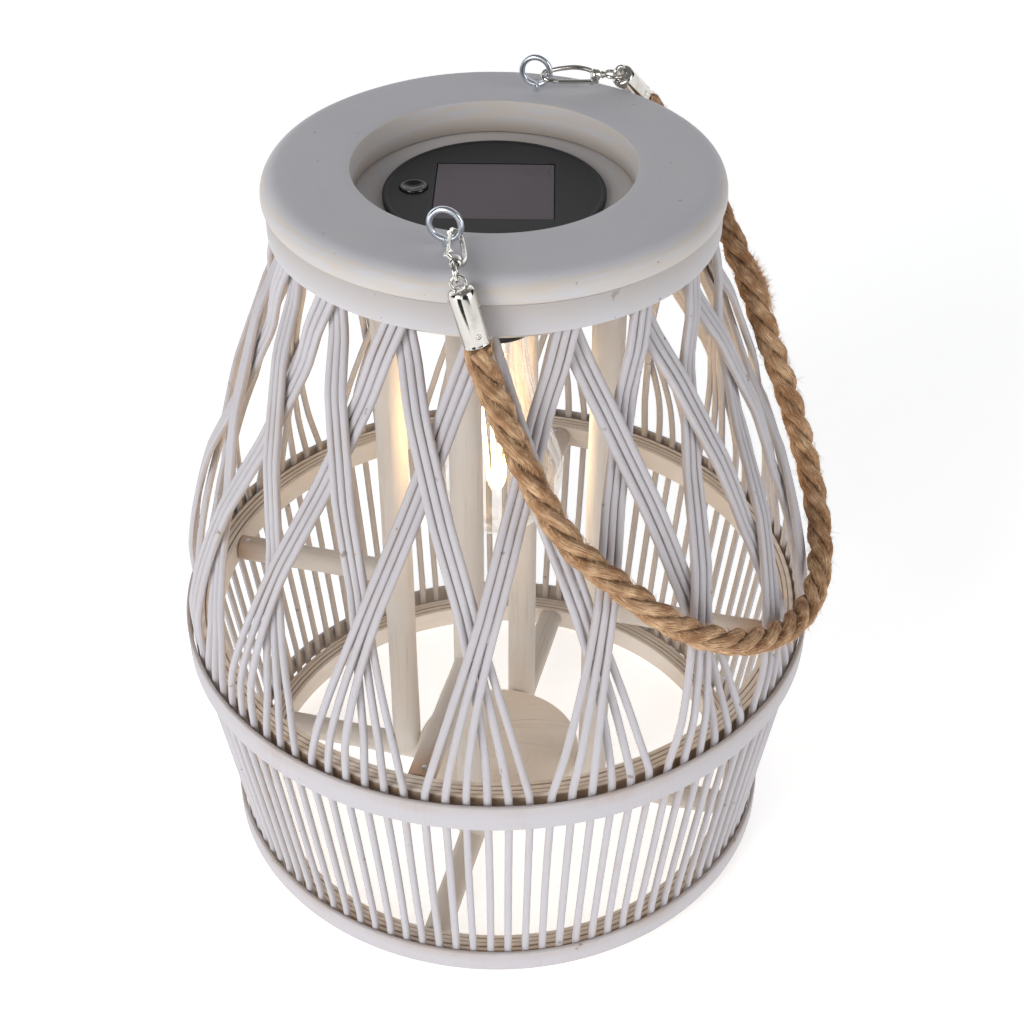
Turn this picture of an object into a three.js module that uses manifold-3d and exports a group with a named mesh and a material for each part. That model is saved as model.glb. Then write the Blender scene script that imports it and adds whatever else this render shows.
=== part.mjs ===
// A hanging solar lantern: a woven cane basket on two hoops, a painted wooden top ring that holds
// a solar lamp module with a filament bulb, and a jute rope handle on two snap hooks.
// Millimetres, +Z up. The origin is on the axis, on the surface that the lantern stands on.
// The two screw eyes of the handle lie on the Y axis, and the handle rests over the +X side.
import * as THREE from 'three';
import { mergeVertices } from 'three/addons/utils/BufferGeometryUtils.js';
import Module from 'manifold-3d';

const wasm = await Module();
wasm.setup();

// ---- driving dimensions ----
const FIT = 0.35;                      // gap left between pieces that touch
const RING_SIDES = 51;                 // sides of the large hoops and rings
const DEG = Math.PI / 180;

const TOP_FACE_Z = 333;
const TOP_RING_R = 89.8;
const TOP_HOLE_R = 55;
const TOP_RING_THICKNESS = 13.7;
const TOP_EDGE_ROUND = 8;
const BAND_R = 88.5;
const BAND_THICKNESS = 1.8;
const BAND_TOP_Z = 323;
const BAND_BOTTOM_Z = 310;
const SEAT_THICKNESS = 4.8;
const MODULE_HOLE_R = 37.9;

const GROUPS = 17;                     // bundles round the basket, each of two times three sticks
const STICK = 3.4;
const FOOT_STICK = 3.2;
const LAYER = 2.05;                    // how far the outer and inner layers of the weave stand apart
const FIRST_GROUP_AZ = -78.6;
const WEAVE_FOOT_Z = 126;
const WEAVE_TOP_Z = 310;
const STICK_TOP_Z = 318.5;
const STICK_BOTTOM_Z = 6.5;
const BASKET_PROFILE = [136.3, 134.6, 98, 82.6];   // radii of a cubic curve, from the mid hoop to the top
const WEAVE_TWIST = 26.5;              // degrees that a bundle travels from the mid hoop to the top
const WEAVE_TWIST_EASE = 0.36;
const FIRST_CROSSING_Z = 186;
const SECOND_CROSSING_Z = 261;

const MID_HOOP_Z = [112, 125];
const MID_STICK_R = 136.3;
const BOTTOM_BAND_Z = [6, 17];
const BOTTOM_STICK_R = 122.65;
const HOOP_BAND_THICKNESS = 1.8;
const INNER_HOOP_THICKNESS = 9;
const BOTTOM_INNER_Z = [0, 12];
const MID_INNER_Z = [113, 124.6];

const BAR_R = 6;
const POST_R = 6.8;
const POST_CENTRE_R = 47.2;
const STRUT_Z = 118.5;
const PLATE_R = 39.5;
const PLATE_THICKNESS = 6;

const MODULE_TURN = 13;                // degrees, the way the module was dropped into its seat
const MODULE_FLANGE_R = 43.4;
const MODULE_BODY_R = 37.4;
const MODULE_WALL = 2;
const MODULE_TOP_Z = 321;
const MODULE_BOTTOM_Z = 292;
const PANEL = [46, 45];
const BUTTON_PLACE = [-31.4, 2];
const BUTTON_R = 5.4;
const BUTTON_TRAVEL = 1.2;

const BULB_R = 29;
const BULB_CENTRE_Z = 188;
const SOCKET_BOTTOM_Z = 262;

const EYE_PLACE_R = 67;
const EYE_CENTRE_Z = 341.5;
const EYE_RING_R = 5.8;
const EYE_WIRE_R = 1.2;
const HOOK_WIRE_R = 1;
const FRONT_SLIDE = 45;                // degrees round the eye, from its foot to where the hook hangs
const BACK_SLIDE = 75;
const FRONT_SWIVEL = [9.5, -87.6, 338.2];
const BACK_SWIVEL = [28.1, 78.9, 338];
const FERRULE_R = 4.9;
const FRONT_FERRULE = [[12.7, -93.5, 332.6], [19, -95.6, 312.6]];
const BACK_FERRULE = [[32.3, 84.1, 336.2], [38.6, 95.9, 322.4]];
const ROPE_R = 5.5;
const ROPE_ROUTE = [
  [19.2, -95.7, 311.8], [21.5, -96, 303], [26.2, -95.7, 289.3], [38.6, -100.7, 264.6],
  [55, -103.9, 238.7], [74.2, -100.7, 218.6], [96.6, -91.5, 195.6], [118.3, -72.4, 176.3],
  [135.8, -41.6, 162.3], [142.5, -9.1, 158.6], [139.8, 19.2, 166.3], [131.7, 33.3, 186.3],
  [119.2, 39.1, 218], [107.2, 39.1, 248], [93.7, 43.4, 277.2], [76.7, 62.7, 295],
  [67, 75.5, 298.5], [58.5, 87, 301.5], [50.5, 97.5, 306.5], [43.8, 102.2, 313], [39, 96.7, 321.5],
];

// ---- materials ----
const paintedWood = new THREE.MeshStandardMaterial({ color: 0xc9c9ce, roughness: 0.75 });
const paintedCane = new THREE.MeshStandardMaterial({ color: 0xc6c3c6, roughness: 0.7 });
const rawCane = new THREE.MeshStandardMaterial({ color: 0xc9ab84, roughness: 0.75 });
const palePole = new THREE.MeshStandardMaterial({ color: 0xc8bdb2, roughness: 0.7 });
const blackPlastic = new THREE.MeshStandardMaterial({ color: 0x2b2a2c, roughness: 0.6 });
const glossBlack = new THREE.MeshStandardMaterial({ color: 0x0b0b0c, roughness: 0.2 });
const cellGlass = new THREE.MeshStandardMaterial({ color: 0x463c45, roughness: 0.25, metalness: 0.1 });
const boardGreen = new THREE.MeshStandardMaterial({ color: 0x2f6b3c, roughness: 0.5 });
const batteryWrap = new THREE.MeshStandardMaterial({ color: 0x4f8a54, roughness: 0.4 });
const nickel = new THREE.MeshStandardMaterial({ color: 0xb9b9b8, roughness: 0.3, metalness: 1 });
const zinc = new THREE.MeshStandardMaterial({ color: 0xb7bcc6, roughness: 0.35, metalness: 1 });
const clearGlass = new THREE.MeshStandardMaterial({ color: 0xf2ead8, roughness: 0.05, opacity: 0.35,
  transparent: true });
const warmLight = new THREE.MeshStandardMaterial({ color: 0xffd27a, roughness: 0.4,
  emissive: 0xffb040 });
const jute = new THREE.MeshStandardMaterial({ color: 0x9a6a35, roughness: 0.95 });

const lantern = new THREE.Group();

function add(name, geometry, material, parent = lantern) {
  const mesh = new THREE.Mesh(geometry, material);
  mesh.name = name;
  parent.add(mesh);
  return mesh;
}

// ---- solids ----
function signedVolume(geometry) {
  const p = geometry.attributes.position;
  const index = geometry.index;
  const a = new THREE.Vector3();
  const b = new THREE.Vector3();
  const c = new THREE.Vector3();
  let volume = 0;
  for (let i = 0; i < index.count; i += 3) {
    a.fromBufferAttribute(p, index.getX(i));
    b.fromBufferAttribute(p, index.getX(i + 1));
    c.fromBufferAttribute(p, index.getX(i + 2));
    volume += a.dot(b.cross(c)) / 6;
  }
  return volume;
}

// A closed geometry as a solid, whichever way its faces were wound.
function solid(geometry) {
  geometry.deleteAttribute('normal');
  geometry.deleteAttribute('uv');
  const merged = mergeVertices(geometry, 1e-4);
  const triVerts = new Uint32Array(merged.index.array);
  if (signedVolume(merged) < 0) {
    triVerts.reverse();
  }
  const vertProperties = new Float32Array(merged.attributes.position.array);
  return new wasm.Manifold(new wasm.Mesh({ numProp: 3, vertProperties, triVerts }));
}

function geometryOf(manifold) {
  const mesh = manifold.getMesh();
  const geometry = new THREE.BufferGeometry();
  geometry.setAttribute('position', new THREE.BufferAttribute(new Float32Array(mesh.vertProperties), 3));
  geometry.setIndex(new THREE.BufferAttribute(new Uint32Array(mesh.triVerts), 1));
  return geometry;
}

function joined(parts) {
  return parts.reduce((whole, part) => whole.add(part));
}

function cut(whole, tools) {
  return tools.reduce((rest, tool) => rest.subtract(tool), whole);
}

// A turned solid about +Z; the profile is a list of [radius, height].
function turned(profile, sides = RING_SIDES) {
  const points = profile.map(([r, z]) => new THREE.Vector2(r, z));
  const geometry = new THREE.LatheGeometry(points, sides);
  geometry.rotateX(Math.PI / 2);
  return solid(geometry);
}

function tubeRing(inner, outer, low, high, sides = RING_SIDES) {
  return turned([[inner, low], [outer, low], [outer, high], [inner, high], [inner, low]], sides);
}

function disc(radius, low, high, sides = 32) {
  return turned([[0, low], [radius, low], [radius, high], [0, high]], sides);
}

function box(size, centre) {
  const geometry = new THREE.BoxGeometry(...size);
  geometry.translate(...centre);
  return solid(geometry);
}

// A round rod between two points.
function rod(from, to, radius, sides = 16, topRadius = radius) {
  const a = new THREE.Vector3(...from);
  const b = new THREE.Vector3(...to);
  const along = b.clone().sub(a);
  const geometry = new THREE.CylinderGeometry(topRadius, radius, along.length(), sides);
  geometry.translate(0, along.length() / 2, 0);
  geometry.applyQuaternion(new THREE.Quaternion().setFromUnitVectors(
    new THREE.Vector3(0, 1, 0), along.normalize()));
  geometry.translate(a.x, a.y, a.z);
  return solid(geometry);
}

function roundSection(radius, sides) {
  const section = new THREE.Shape();
  for (let i = 0; i < sides; i += 1) {
    const angle = (2 * Math.PI * i) / sides;
    const x = radius * Math.cos(angle);
    const y = radius * Math.sin(angle);
    if (i === 0) {
      section.moveTo(x, y);
    } else {
      section.lineTo(x, y);
    }
  }
  section.closePath();
  return section;
}

function sweep(path, section, steps) {
  return solid(new THREE.ExtrudeGeometry(section, { steps, extrudePath: path, curveSegments: 1 }));
}

function wire(points, radius, steps, sides = 8) {
  const path = new THREE.CatmullRomCurve3(points.map((p) => new THREE.Vector3(...p)));
  return sweep(path, roundSection(radius, sides), steps);
}

// ---- the woven basket ----
function interpolate(table, z) {
  const last = table.length - 1;
  if (z <= table[0][0]) {
    return table[0][1];
  }
  if (z >= table[last][0]) {
    return table[last][1];
  }
  const i = table.findIndex(([height]) => height > z) - 1;
  const share = (z - table[i][0]) / (table[i + 1][0] - table[i][0]);
  const eased = (1 - Math.cos(Math.PI * share)) / 2;
  return table[i][1] + (table[i + 1][1] - table[i][1]) * eased;
}

// The middle surface of the basket wall: its radius at a height.
function wallRadius(z) {
  if (z <= WEAVE_FOOT_Z) {
    const share = (z - BOTTOM_BAND_Z[1]) / (MID_HOOP_Z[0] - BOTTOM_BAND_Z[1]);
    return THREE.MathUtils.lerp(BOTTOM_STICK_R, MID_STICK_R, THREE.MathUtils.clamp(share, 0, 1));
  }
  const s = Math.min(1, (z - WEAVE_FOOT_Z) / (WEAVE_TOP_Z - WEAVE_FOOT_Z));
  const [a, b, c, d] = BASKET_PROFILE;
  return (1 - s) ** 3 * a + 3 * (1 - s) ** 2 * s * b + 3 * (1 - s) * s * s * c + s ** 3 * d;
}

// How far a bundle has travelled round the basket at a height, in degrees.
function weaveTravel(z) {
  const t = Math.max(0, (Math.min(z, WEAVE_TOP_Z) - WEAVE_FOOT_Z) / (WEAVE_TOP_Z - WEAVE_FOOT_Z));
  return WEAVE_TWIST * (WEAVE_TWIST_EASE * t + (1 - WEAVE_TWIST_EASE) * t * t);
}

// The layer that a right-leaning bundle takes: outside, inside, outside at its three crossings.
const LAYER_HEIGHTS = [
  [WEAVE_FOOT_Z, 0], [WEAVE_FOOT_Z + 20, LAYER], [FIRST_CROSSING_Z + 20, LAYER],
  [SECOND_CROSSING_Z - 22, -LAYER], [SECOND_CROSSING_Z + 16, -LAYER], [WEAVE_TOP_Z - 14, LAYER],
];

// A strip of the basket wall, bent from a box: heights are its stations from bottom to top, and
// azimuth (degrees), layer and width (millimetres) are functions of height.
function wallStrip(heights, thickness, azimuth, layer, width) {
  const steps = heights.length - 1;
  const geometry = new THREE.BoxGeometry(thickness, 1, steps, 1, 1, steps);
  const position = geometry.attributes.position;
  for (let i = 0; i < position.count; i += 1) {
    const z = heights[Math.round(position.getZ(i) + steps / 2)];
    const radius = wallRadius(z) + layer(z) + position.getX(i);
    const centre = azimuth(z) * DEG;
    const side = position.getY(i) * width(z);
    position.setXYZ(i, radius * Math.cos(centre) - side * Math.sin(centre),
      radius * Math.sin(centre) + side * Math.cos(centre), z);
  }
  return solid(geometry);
}

// One group of six sticks, with its middle at azimuth 0. lean is 1 for the three that lean one way
// and -1 for the three that lean the other way. Above the mid hoop each three close up like a fan,
// and from TIGHT_Z they run side by side as one bundle.
const STICK_PITCH = 360 / (GROUPS * 6);
const BUNDLE_FOOT = 1.5 * STICK_PITCH;
const FOOT_GAP = STICK_PITCH * DEG * MID_STICK_R;
const TIGHT_Z = 206;
const TIGHT_OVERLAP = 6;
const FAN_CLOSING = 1.6;               // how early the fan closes: 1 is evenly, 2 is mostly low down
const FAN_HEIGHTS = [MID_HOOP_Z[1] + 1.5, 146, 174, TIGHT_Z - TIGHT_OVERLAP / 2];
const BUNDLE_HEIGHTS = [TIGHT_Z - TIGHT_OVERLAP, 222, 239, 258, 277, 296, WEAVE_TOP_Z, STICK_TOP_Z];
const COMB_HEIGHTS = [STICK_BOTTOM_Z, BOTTOM_BAND_Z[1] + 1, MID_HOOP_Z[0], MID_HOOP_Z[1] + 3];

function bundleAzimuth(lean, z) {
  return lean * (weaveTravel(z) - BUNDLE_FOOT);
}

function bundleLayer(lean) {
  return (z) => lean * interpolate(LAYER_HEIGHTS, z);
}

// The distance between the middles of two neighbouring sticks of a fan.
function stickGap(z) {
  const open = 1 - THREE.MathUtils.clamp((z - WEAVE_FOOT_Z) / (TIGHT_Z - WEAVE_FOOT_Z), 0, 1);
  return STICK + (FOOT_GAP - STICK) * open ** FAN_CLOSING;
}

function bundle(lean) {
  return wallStrip(BUNDLE_HEIGHTS, STICK, (z) => bundleAzimuth(lean, z), bundleLayer(lean),
    () => 3 * STICK);
}

function fanStick(lean, place) {
  const azimuth = (z) => bundleAzimuth(lean, z) + (place * stickGap(z)) / wallRadius(z) / DEG;
  return wallStrip(FAN_HEIGHTS, FOOT_STICK, azimuth, bundleLayer(lean), () => FOOT_STICK);
}

function combStick(place) {
  return wallStrip(COMB_HEIGHTS, FOOT_STICK, () => place * STICK_PITCH, () => 0, () => FOOT_STICK);
}

function stickGroup() {
  const tie = box([LAYER + 1.2, 2.4, 2.4], [wallRadius(FIRST_CROSSING_Z), 0, FIRST_CROSSING_Z]);
  const combs = [-2.5, -1.5, -0.5, 0.5, 1.5, 2.5].map(combStick);
  const fans = [-1, 1].flatMap((lean) => [-1, 0, 1].map((place) => fanStick(lean, place)));
  return geometryOf(joined([bundle(1), bundle(-1), tie, ...fans, ...combs]));
}

const stickGeometry = stickGroup();
for (let i = 0; i < GROUPS; i += 1) {
  const name = `stick_group_${String(i + 1).padStart(2, '0')}`;
  const group = add(name, stickGeometry.clone(), paintedCane);
  group.rotation.z = (FIRST_GROUP_AZ + (i * 360) / GROUPS) * DEG;
}

// ---- hoops ----
const half = STICK / 2;
const flatGap = MID_STICK_R * (1 - Math.cos(Math.PI / RING_SIDES));   // a polygon's flats lie inside
const midBandInner = MID_STICK_R + half + FIT + flatGap;
const bottomBandInner = BOTTOM_STICK_R + half + FIT + flatGap;
add('mid_hoop_outer', geometryOf(tubeRing(midBandInner, midBandInner + HOOP_BAND_THICKNESS, ...MID_HOOP_Z)),
  paintedCane);
add('bottom_hoop_outer',
  geometryOf(tubeRing(bottomBandInner, bottomBandInner + HOOP_BAND_THICKNESS, ...BOTTOM_BAND_Z)),
  paintedCane);
const midInnerR = MID_STICK_R - half - FIT;
const bottomInnerR = BOTTOM_STICK_R - half - FIT;
add('mid_hoop_inner', geometryOf(tubeRing(midInnerR - INNER_HOOP_THICKNESS, midInnerR, ...MID_INNER_Z)),
  rawCane);
add('bottom_hoop_inner',
  geometryOf(tubeRing(bottomInnerR - INNER_HOOP_THICKNESS, bottomInnerR, ...BOTTOM_INNER_Z)), rawCane);

// ---- inner frame: base cross, plate, posts and struts ----
const barEnd = (bottomInnerR - INNER_HOOP_THICKNESS) - flatGap - FIT - 0.2;
const barX = rod([-barEnd, 0, BAR_R], [barEnd, 0, BAR_R], BAR_R, 12);
const barY = rod([0, -barEnd, BAR_R], [0, barEnd, BAR_R], BAR_R, 12);
const lap = 2 * BAR_R + 2 * FIT;
const upperLap = box([lap, lap, 2 * BAR_R], [0, 0, 2 * BAR_R]);
const lowerLap = box([lap, lap, 2 * BAR_R], [0, 0, FIT]);
add('base_bar_x', geometryOf(cut(barX, [upperLap])), palePole);
add('base_bar_y', geometryOf(cut(barY, [lowerLap])), palePole);
const plateLow = 2 * BAR_R + FIT;
add('centre_plate', geometryOf(disc(PLATE_R, plateLow, plateLow + PLATE_THICKNESS, 36)), palePole);

const SEAT_TOP_Z = TOP_FACE_Z - TOP_RING_THICKNESS - FIT;
const SEAT_LOW_Z = SEAT_TOP_Z - SEAT_THICKNESS;
const strutEnd = midInnerR - INNER_HOOP_THICKNESS - flatGap - FIT - 0.2;
const SIDES = [['right', 0], ['back', 90], ['left', 180], ['front', 270]];
for (const [side, azimuth] of SIDES) {
  const crossBar = rod([0, 0, BAR_R], [barEnd, 0, BAR_R], BAR_R + FIT, 12);
  const wholePost = rod([POST_CENTRE_R, 0, BAR_R + 1], [POST_CENTRE_R, 0, SEAT_LOW_Z - FIT], POST_R, 14);
  const post = add(`post_${side}`, geometryOf(cut(wholePost, [crossBar])), palePole);
  post.rotation.z = azimuth * DEG;
  const postSleeve = rod([POST_CENTRE_R, 0, STRUT_Z - 20], [POST_CENTRE_R, 0, STRUT_Z + 20],
    POST_R + FIT, 14);
  const wholeStrut = rod([POST_CENTRE_R, 0, STRUT_Z], [strutEnd, 0, STRUT_Z], BAR_R - 0.3, 12);
  const strut = add(`mid_strut_${side}`, geometryOf(cut(wholeStrut, [postSleeve])), palePole);
  strut.rotation.z = azimuth * DEG;
}

// ---- top: ring, band, binding hoop and module seat ----
function topRing() {
  const low = TOP_FACE_Z - TOP_RING_THICKNESS;
  const rebateR = BAND_R - BAND_THICKNESS - FIT;
  const profile = [[TOP_HOLE_R, low], [rebateR, low], [rebateR, BAND_TOP_Z + FIT],
    [TOP_RING_R, BAND_TOP_Z + FIT]];
  const steps = 3;
  for (let i = 0; i <= steps; i += 1) {
    const angle = (i / steps) * (Math.PI / 2);
    profile.push([TOP_RING_R - TOP_EDGE_ROUND * (1 - Math.cos(angle)),
      TOP_FACE_Z - TOP_EDGE_ROUND * (1 - Math.sin(angle))]);
  }
  profile.push([TOP_HOLE_R + 1, TOP_FACE_Z], [TOP_HOLE_R, TOP_FACE_Z - 1], [TOP_HOLE_R, low]);
  const screwHoles = [-1, 1].map((side) => rod([0, side * EYE_PLACE_R, TOP_FACE_Z - 8.5],
    [0, side * EYE_PLACE_R, TOP_FACE_Z + 1], EYE_WIRE_R + FIT, 12));
  return cut(turned(profile), screwHoles);
}
add('top_ring', geometryOf(topRing()), paintedWood);
add('ring_band', geometryOf(tubeRing(BAND_R - BAND_THICKNESS, BAND_R, BAND_BOTTOM_Z, BAND_TOP_Z)),
  paintedWood);
const bindingR = BASKET_PROFILE[3] - LAYER - half - FIT;
add('binding_hoop', geometryOf(tubeRing(bindingR - 7, bindingR, 303, SEAT_LOW_Z - FIT)), rawCane);
add('module_seat', geometryOf(tubeRing(MODULE_HOLE_R, bindingR, SEAT_LOW_Z, SEAT_TOP_Z)), paintedWood);

// ---- solar lamp module ----
const lamp = new THREE.Group();
lamp.rotation.z = MODULE_TURN * DEG;
lantern.add(lamp);

const CEILING_Z = MODULE_TOP_Z - 3;
function solarHousing() {
  const flangeLow = SEAT_TOP_Z + FIT;
  const shell = turned([[0, MODULE_TOP_Z], [MODULE_FLANGE_R - 0.5, MODULE_TOP_Z],
    [MODULE_FLANGE_R, MODULE_TOP_Z - 0.5], [MODULE_FLANGE_R, flangeLow], [MODULE_BODY_R, flangeLow],
    [MODULE_BODY_R, MODULE_BOTTOM_Z], [MODULE_BODY_R - MODULE_WALL, MODULE_BOTTOM_Z],
    [MODULE_BODY_R - MODULE_WALL, CEILING_Z], [0, CEILING_Z]], 32);
  const panelRecess = box([PANEL[0] + 0.8, PANEL[1] + 0.8, 3], [0, 0, MODULE_TOP_Z + 0.1]);
  const buttonHole = rod([...BUTTON_PLACE, CEILING_Z - 1], [...BUTTON_PLACE, MODULE_TOP_Z + 1],
    BUTTON_R + FIT, 16);
  return cut(shell, [panelRecess, buttonHole]);
}
add('solar_housing', geometryOf(solarHousing()), blackPlastic, lamp);
add('solar_panel', new THREE.BoxGeometry(PANEL[0], PANEL[1], 0.9), cellGlass, lamp)
  .position.set(0, 0, MODULE_TOP_Z - 0.6);

// The cap stands in its hole. Its lower end and the flange that keeps it in clear the side wall
// and the seat over the whole press.
function powerButton() {
  const flangeTop = CEILING_Z - FIT;
  const flangeLow = flangeTop - 1.4;
  const capLow = flangeTop - 0.2;
  const fullRoundZ = SEAT_TOP_Z + BUTTON_TRAVEL + FIT;
  const cap = turned([[0, capLow], [BUTTON_R, capLow], [BUTTON_R, 321.4], [BUTTON_R - 0.8, 321.9],
    [BUTTON_R - 1.8, 321.6], [0, 321]], 16);
  const whole = joined([cap, disc(BUTTON_R + 1.3, flangeLow, flangeTop, 16)]);
  const insideWall = disc(MODULE_BODY_R - MODULE_WALL - FIT, flangeLow - 1, fullRoundZ, 32)
    .translate(-BUTTON_PLACE[0], -BUTTON_PLACE[1], 0);
  const above = disc(BUTTON_R + 1, fullRoundZ - 0.05, MODULE_TOP_Z + 3, 16);
  return joined([whole.intersect(insideWall), whole.intersect(above)]);
}
add('power_button', geometryOf(powerButton()), glossBlack, lamp)
  .position.set(BUTTON_PLACE[0], BUTTON_PLACE[1], 0);
add('circuit_board', new THREE.BoxGeometry(50, 30, 1.6), boardGreen, lamp).position.set(3, 0, 313);

function battery() {
  const body = rod([-24.5, 0, 303.4], [23.5, 0, 303.4], 7.1, 16);
  const pip = rod([23, 0, 303.4], [25, 0, 303.4], 2.7, 12);
  return joined([body, pip]);
}
add('battery', geometryOf(battery()), batteryWrap, lamp);
add('housing_base', geometryOf(disc(MODULE_BODY_R - MODULE_WALL - FIT, MODULE_BOTTOM_Z,
  MODULE_BOTTOM_Z + 2.4, 32)), blackPlastic, lamp);

function lampSocket() {
  const top = MODULE_BOTTOM_Z - FIT;
  return turned([[0, top], [20, top], [20, top - 4], [17.5, top - 6], [17, SOCKET_BOTTOM_Z],
    [14.4, SOCKET_BOTTOM_Z], [14.4, top - 3], [0, top - 3]], 20);
}
add('lamp_socket', geometryOf(lampSocket()), blackPlastic, lamp);

function bulbCap() {
  const top = MODULE_BOTTOM_Z - FIT - 3 - FIT;
  return turned([[0, top], [5, top], [9, top - 2.5], [13.2, top - 4], [13.2, SOCKET_BOTTOM_Z + 1],
    [12.2, SOCKET_BOTTOM_Z], [0, SOCKET_BOTTOM_Z]], 16);
}
add('bulb_cap', geometryOf(bulbCap()), nickel, lamp);

function bulbGlass() {
  const glass = 0.9;
  const outer = [];
  const lowest = BULB_CENTRE_Z - BULB_R;
  for (let i = 0; i <= 6; i += 1) {
    const angle = -Math.PI / 2 + (i / 6) * (Math.PI / 2 + 0.42);
    outer.push([BULB_R * Math.cos(angle), BULB_CENTRE_Z + BULB_R * Math.sin(angle)]);
  }
  outer[0] = [0, lowest];
  outer.push([21.6, 215], [16.2, 232], [13.6, 248], [13.2, SOCKET_BOTTOM_Z - FIT]);
  const inner = outer.map(([r, z]) => [Math.max(0, r - glass), z]);
  inner[0] = [0, lowest + glass];
  inner[1][1] += glass * 0.9;
  return turned([...outer, ...inner.reverse()], 20);
}
add('bulb_glass', geometryOf(bulbGlass()), clearGlass, lamp);

function filament() {
  const hubTop = 222;
  const hubLow = 182;
  const parts = [rod([0, 0, hubTop], [0, 0, SOCKET_BOTTOM_Z - FIT], 4, 8, 6),
    disc(7.5, hubTop - 1.2, hubTop + 0.6, 8), disc(4.4, hubLow - 1.2, hubLow + 0.6, 8)];
  for (let i = 0; i < 4; i += 1) {
    const angle = (i * 90 + 20) * DEG;
    const at = (r, z) => [r * Math.cos(angle), r * Math.sin(angle), z];
    parts.push(rod(at(3.4, hubLow), at(6.4, hubTop), 0.9, 6));
  }
  return joined(parts);
}
add('led_filament', geometryOf(filament()), warmLight, lamp);

// ---- screw eyes ----
function screwEye(side) {
  const ring = new THREE.TorusGeometry(EYE_RING_R, EYE_WIRE_R, 6, 18);
  ring.rotateX(Math.PI / 2);
  ring.translate(0, side * EYE_PLACE_R, EYE_CENTRE_Z);
  const shank = rod([0, side * EYE_PLACE_R, TOP_FACE_Z - 8],
    [0, side * EYE_PLACE_R, EYE_CENTRE_Z - EYE_RING_R], EYE_WIRE_R, 8);
  return joined([solid(ring), shank]);
}
add('screw_eye_front', geometryOf(screwEye(-1)), zinc);
add('screw_eye_back', geometryOf(screwEye(1)), zinc);

// ---- snap hooks, in a frame whose +X runs along the hook from the eye's wire to the swivel ----
const HOOK_NOSE_R = 2.7;
const HOOK_LENGTH = 21.5;
const GATE_PIVOT = [17.6, 3.6];
const GATE_TIP = [4.4, 3.3];

function hookBody() {
  const spine = wire([[GATE_TIP[0] - 1.9, 0, 3.2], [1, 0, 2.75], [-1.6, 0, 2.2], [-2.75, 0, 0],
    [-1.6, 0, -2.2], [1, 0, -2.9], [6, 0, -3.9], [12, 0, -4.3], [17, 0, -3], [20.4, 0, -0.6]],
  HOOK_WIRE_R, 16, 6);
  const boss = rod([17.9, 0, 0], [HOOK_LENGTH, 0, 0], 2.5, 10, 2.2);
  const cheek = rod([19.2, 0, 1.2], [19.2, 0, 4.2], 1, 8);
  return joined([spine, boss, cheek]);
}

function hookGate() {
  return wire([[GATE_TIP[0] - 1.2, 0, GATE_TIP[1]], [10, 0, 3.55], [GATE_PIVOT[0], 0, GATE_PIVOT[1]]],
    HOOK_WIRE_R * 0.9, 4, 6);
}

// The frame of the hook on one eye: its origin is the eye's wire where the hook hangs. gateTurn is
// -1 where the gate faces away from the board and 1 where it faces down and forward.
function hookFrame(side, swivel, slideDegrees, gateTurn) {
  const slide = slideDegrees * DEG;
  const radial = new THREE.Vector3(Math.sin(slide), 0, -Math.cos(slide));
  const origin = new THREE.Vector3(0, side * EYE_PLACE_R, EYE_CENTRE_Z).addScaledVector(radial, EYE_RING_R);
  const along = new THREE.Vector3(...swivel).sub(origin).normalize();
  const gateSide = radial.clone().addScaledVector(along, -radial.dot(along)).setLength(gateTurn);
  const across = gateSide.clone().cross(along);
  const frame = new THREE.Group();
  frame.matrix.makeBasis(along, across, gateSide).setPosition(origin);
  frame.matrix.decompose(frame.position, frame.quaternion, frame.scale);
  lantern.add(frame);
  return frame;
}

// A ring of wire about a centre, in the plane that is square to axis.
function wireRing(radius, wireR, centre, axis) {
  const ring = new THREE.TorusGeometry(radius, wireR, 6, 14);
  ring.applyQuaternion(new THREE.Quaternion().setFromUnitVectors(new THREE.Vector3(0, 0, 1), axis));
  ring.translate(centre.x, centre.y, centre.z);
  return solid(ring);
}

const LINK_R = 3.2;
const STAPLE_R = 2.6;
const LINK_WIRE_R = 0.7;
const STAPLE_RISE = 2;

// The small swivel under a hook: a neck along the hook's axis and a ring that holds the staple.
function swivelLink(neckStart, along, centre, axis) {
  const neckEnd = neckStart.clone().addScaledVector(along, 2.1);
  const neck = rod(neckStart.toArray(), neckEnd.toArray(), 1.6, 8);
  return joined([neck, wireRing(LINK_R, LINK_WIRE_R, centre, axis)]);
}

function ferrule(from, to, along, stapleCentre, stapleAxis) {
  const capEnd = from.clone().addScaledVector(along, 3);
  const shoulder = from.clone().addScaledVector(along, 1);
  const cap = rod(from.toArray(), capEnd.toArray(), FERRULE_R - 1.2, 12, FERRULE_R - 0.3);
  const sleeve = rod(shoulder.toArray(), to.toArray(), FERRULE_R, 12);
  return joined([cap, sleeve, wireRing(STAPLE_R, LINK_WIRE_R, stapleCentre, stapleAxis)]);
}

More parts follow.
